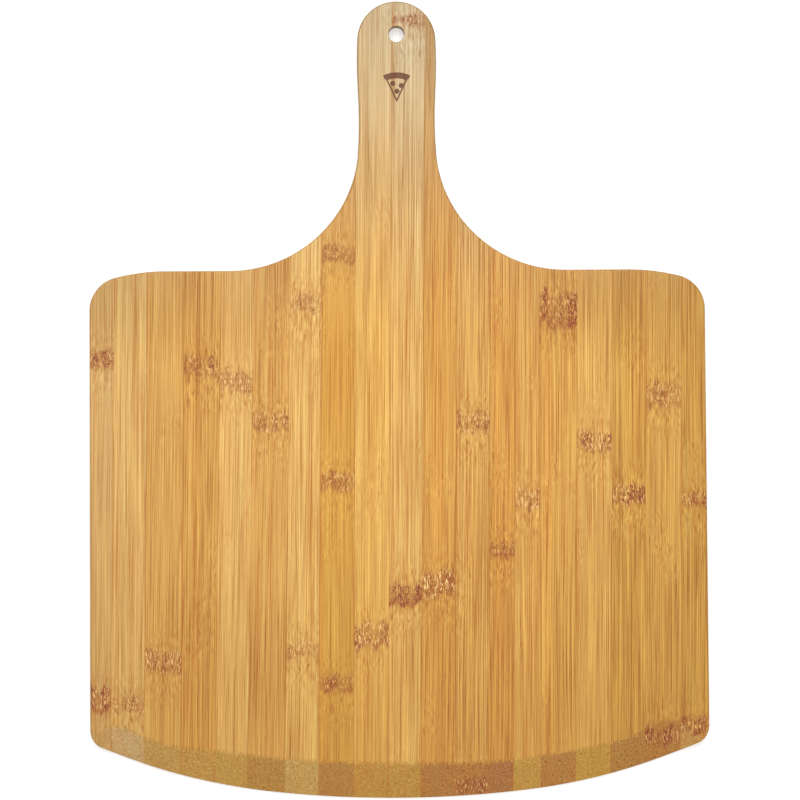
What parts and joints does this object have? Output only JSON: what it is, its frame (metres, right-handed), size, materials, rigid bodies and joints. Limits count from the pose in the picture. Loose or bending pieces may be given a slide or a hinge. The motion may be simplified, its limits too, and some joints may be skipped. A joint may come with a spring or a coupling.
{
  "type": "pizza peel",
  "caption": "Flat pizza peel of edge-glued bamboo staves, with a broad bevelled front edge, round shoulders and a short handle with a hanging hole.",
  "frame": {"origin": "middle of the peel's rectangle in plan, on the surface that the peel lies on", "axes": "+Z out of the working face, +Y towards the end of the handle, +X to the right of the blade"},
  "size_m": [0.4064, 0.526, 0.008],
  "materials": {
    "bamboo_tan": "satin oiled bamboo",
    "bamboo_light_gold": "satin oiled bamboo",
    "bamboo_gold": "satin oiled bamboo",
    "bamboo_amber": "satin oiled bamboo"
  },
  "bodies": {
    "root": {"stave_01": "bamboo_tan", "stave_02": "bamboo_tan", "stave_03": "bamboo_gold", "stave_04": "bamboo_gold", "stave_05": "bamboo_light_gold", "stave_06": "bamboo_gold", "stave_07": "bamboo_light_gold", "stave_08": "bamboo_amber", "stave_09": "bamboo_light_gold", "stave_10": "bamboo_light_gold", "stave_11": "bamboo_amber", "stave_12": "bamboo_gold", "stave_13": "bamboo_amber", "stave_14": "bamboo_gold", "stave_15": "bamboo_amber", "stave_16": "bamboo_gold", "stave_17": "bamboo_amber", "stave_18": "bamboo_amber", "stave_19": "bamboo_amber"}
  },
  "joints": []
}
